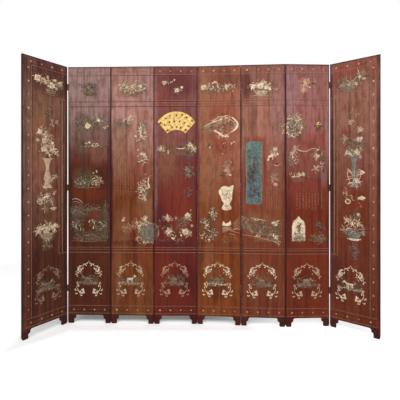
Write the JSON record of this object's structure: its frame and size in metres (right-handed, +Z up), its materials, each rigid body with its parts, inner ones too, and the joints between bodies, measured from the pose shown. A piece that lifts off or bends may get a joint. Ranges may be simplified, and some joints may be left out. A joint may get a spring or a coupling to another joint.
{
  "type": "folding lacquer screen",
  "caption": "Tall folding floor screen of lacquered leaves on bracket feet, its end leaves turned forward, each leaf folding on lift-off pin hinges.",
  "frame": {"origin": "on the floor, under the middle of the overall box", "axes": "+X to the right along the row as the decorated fronts are looked at, +Y from the fronts to the backs, +Z up"},
  "size_m": [3.087, 0.3548, 2.45],
  "materials": {
    "panel_lacquer": "aged red-brown lacquer over wood, satin, with worn streaks along the boards",
    "foot_lacquer": "darker red-brown lacquer, satin, rubbed at the edges",
    "edge_lacquer": "near-black red lacquer, satin",
    "hinge_iron": "dark patinated iron"
  },
  "bodies": {
    "leaf_1": {"leaf_1_board": "panel_lacquer", "leaf_1_foot_rail": "foot_lacquer", "leaf_1_edge_strip": "edge_lacquer", "fold_1_top_hinge_pintle": "hinge_iron", "fold_1_middle_hinge_pintle": "hinge_iron", "fold_1_bottom_hinge_pintle": "hinge_iron"},
    "leaf_2": {"leaf_2_board": "panel_lacquer", "leaf_2_foot_rail": "foot_lacquer", "fold_1_top_hinge_socket": "hinge_iron", "fold_1_middle_hinge_socket": "hinge_iron", "fold_1_bottom_hinge_socket": "hinge_iron", "fold_2_top_hinge_pintle": "hinge_iron", "fold_2_middle_hinge_pintle": "hinge_iron", "fold_2_bottom_hinge_pintle": "hinge_iron"},
    "leaf_3": {"leaf_3_board": "panel_lacquer", "leaf_3_foot_rail": "foot_lacquer", "fold_2_top_hinge_socket": "hinge_iron", "fold_2_middle_hinge_socket": "hinge_iron", "fold_2_bottom_hinge_socket": "hinge_iron", "fold_3_top_hinge_pintle": "hinge_iron", "fold_3_middle_hinge_pintle": "hinge_iron", "fold_3_bottom_hinge_pintle": "hinge_iron"},
    "leaf_4": {"leaf_4_board": "panel_lacquer", "leaf_4_foot_rail": "foot_lacquer", "fold_3_top_hinge_socket": "hinge_iron", "fold_3_middle_hinge_socket": "hinge_iron", "fold_3_bottom_hinge_socket": "hinge_iron", "fold_4_top_hinge_pintle": "hinge_iron", "fold_4_middle_hinge_pintle": "hinge_iron", "fold_4_bottom_hinge_pintle": "hinge_iron"},
    "leaf_5": {"leaf_5_board": "panel_lacquer", "leaf_5_foot_rail": "foot_lacquer", "fold_4_top_hinge_socket": "hinge_iron", "fold_4_middle_hinge_socket": "hinge_iron", "fold_4_bottom_hinge_socket": "hinge_iron", "fold_5_top_hinge_pintle": "hinge_iron", "fold_5_middle_hinge_pintle": "hinge_iron", "fold_5_bottom_hinge_pintle": "hinge_iron"},
    "leaf_6": {"leaf_6_board": "panel_lacquer", "leaf_6_foot_rail": "foot_lacquer", "fold_5_top_hinge_socket": "hinge_iron", "fold_5_middle_hinge_socket": "hinge_iron", "fold_5_bottom_hinge_socket": "hinge_iron", "fold_6_top_hinge_pintle": "hinge_iron", "fold_6_middle_hinge_pintle": "hinge_iron", "fold_6_bottom_hinge_pintle": "hinge_iron"},
    "leaf_7": {"leaf_7_board": "panel_lacquer", "leaf_7_foot_rail": "foot_lacquer", "fold_6_top_hinge_socket": "hinge_iron", "fold_6_middle_hinge_socket": "hinge_iron", "fold_6_bottom_hinge_socket": "hinge_iron", "fold_7_top_hinge_pintle": "hinge_iron", "fold_7_middle_hinge_pintle": "hinge_iron", "fold_7_bottom_hinge_pintle": "hinge_iron"},
    "leaf_8": {"leaf_8_board": "panel_lacquer", "leaf_8_foot_rail": "foot_lacquer", "leaf_8_edge_strip": "edge_lacquer", "fold_7_top_hinge_socket": "hinge_iron", "fold_7_middle_hinge_socket": "hinge_iron", "fold_7_bottom_hinge_socket": "hinge_iron"}
  },
  "joints": [
    {"name": "fold_1", "type": "hinge", "parent": "leaf_2", "child": "leaf_1", "pos_m": [-1.27771, 0.14981, 1.2965], "axis": [0, 0, 1], "range_deg": [-59.5, 123]},
    {"name": "fold_2", "type": "hinge", "parent": "leaf_3", "child": "leaf_2", "pos_m": [-0.86413, 0.17315, 1.2965], "axis": [0, 0, -1], "range_deg": [-4, 178]},
    {"name": "fold_3", "type": "hinge", "parent": "leaf_4", "child": "leaf_3", "pos_m": [-0.45242, 0.12748, 1.2965], "axis": [0, 0, 1], "range_deg": [-2.8, 158]},
    {"name": "fold_4", "type": "hinge", "parent": "leaf_4", "child": "leaf_5", "pos_m": [-0.03942, 0.15948, 1.2965], "axis": [0, 0, 1], "range_deg": [-0.4, 178]},
    {"name": "fold_5", "type": "hinge", "parent": "leaf_5", "child": "leaf_6", "pos_m": [0.36991, 0.09589, 1.2965], "axis": [0, 0, -1], "range_deg": [-4.2, 167]},
    {"name": "fold_6", "type": "hinge", "parent": "leaf_6", "child": "leaf_7", "pos_m": [0.78413, 0.09972, 1.2965], "axis": [0, 0, 1], "range_deg": [-10.8, 171]},
    {"name": "fold_7", "type": "hinge", "parent": "leaf_7", "child": "leaf_8", "pos_m": [1.19806, 0.0836, 1.2965], "axis": [0, 0, -1], "range_deg": [-43.6, 139]}
  ]
}
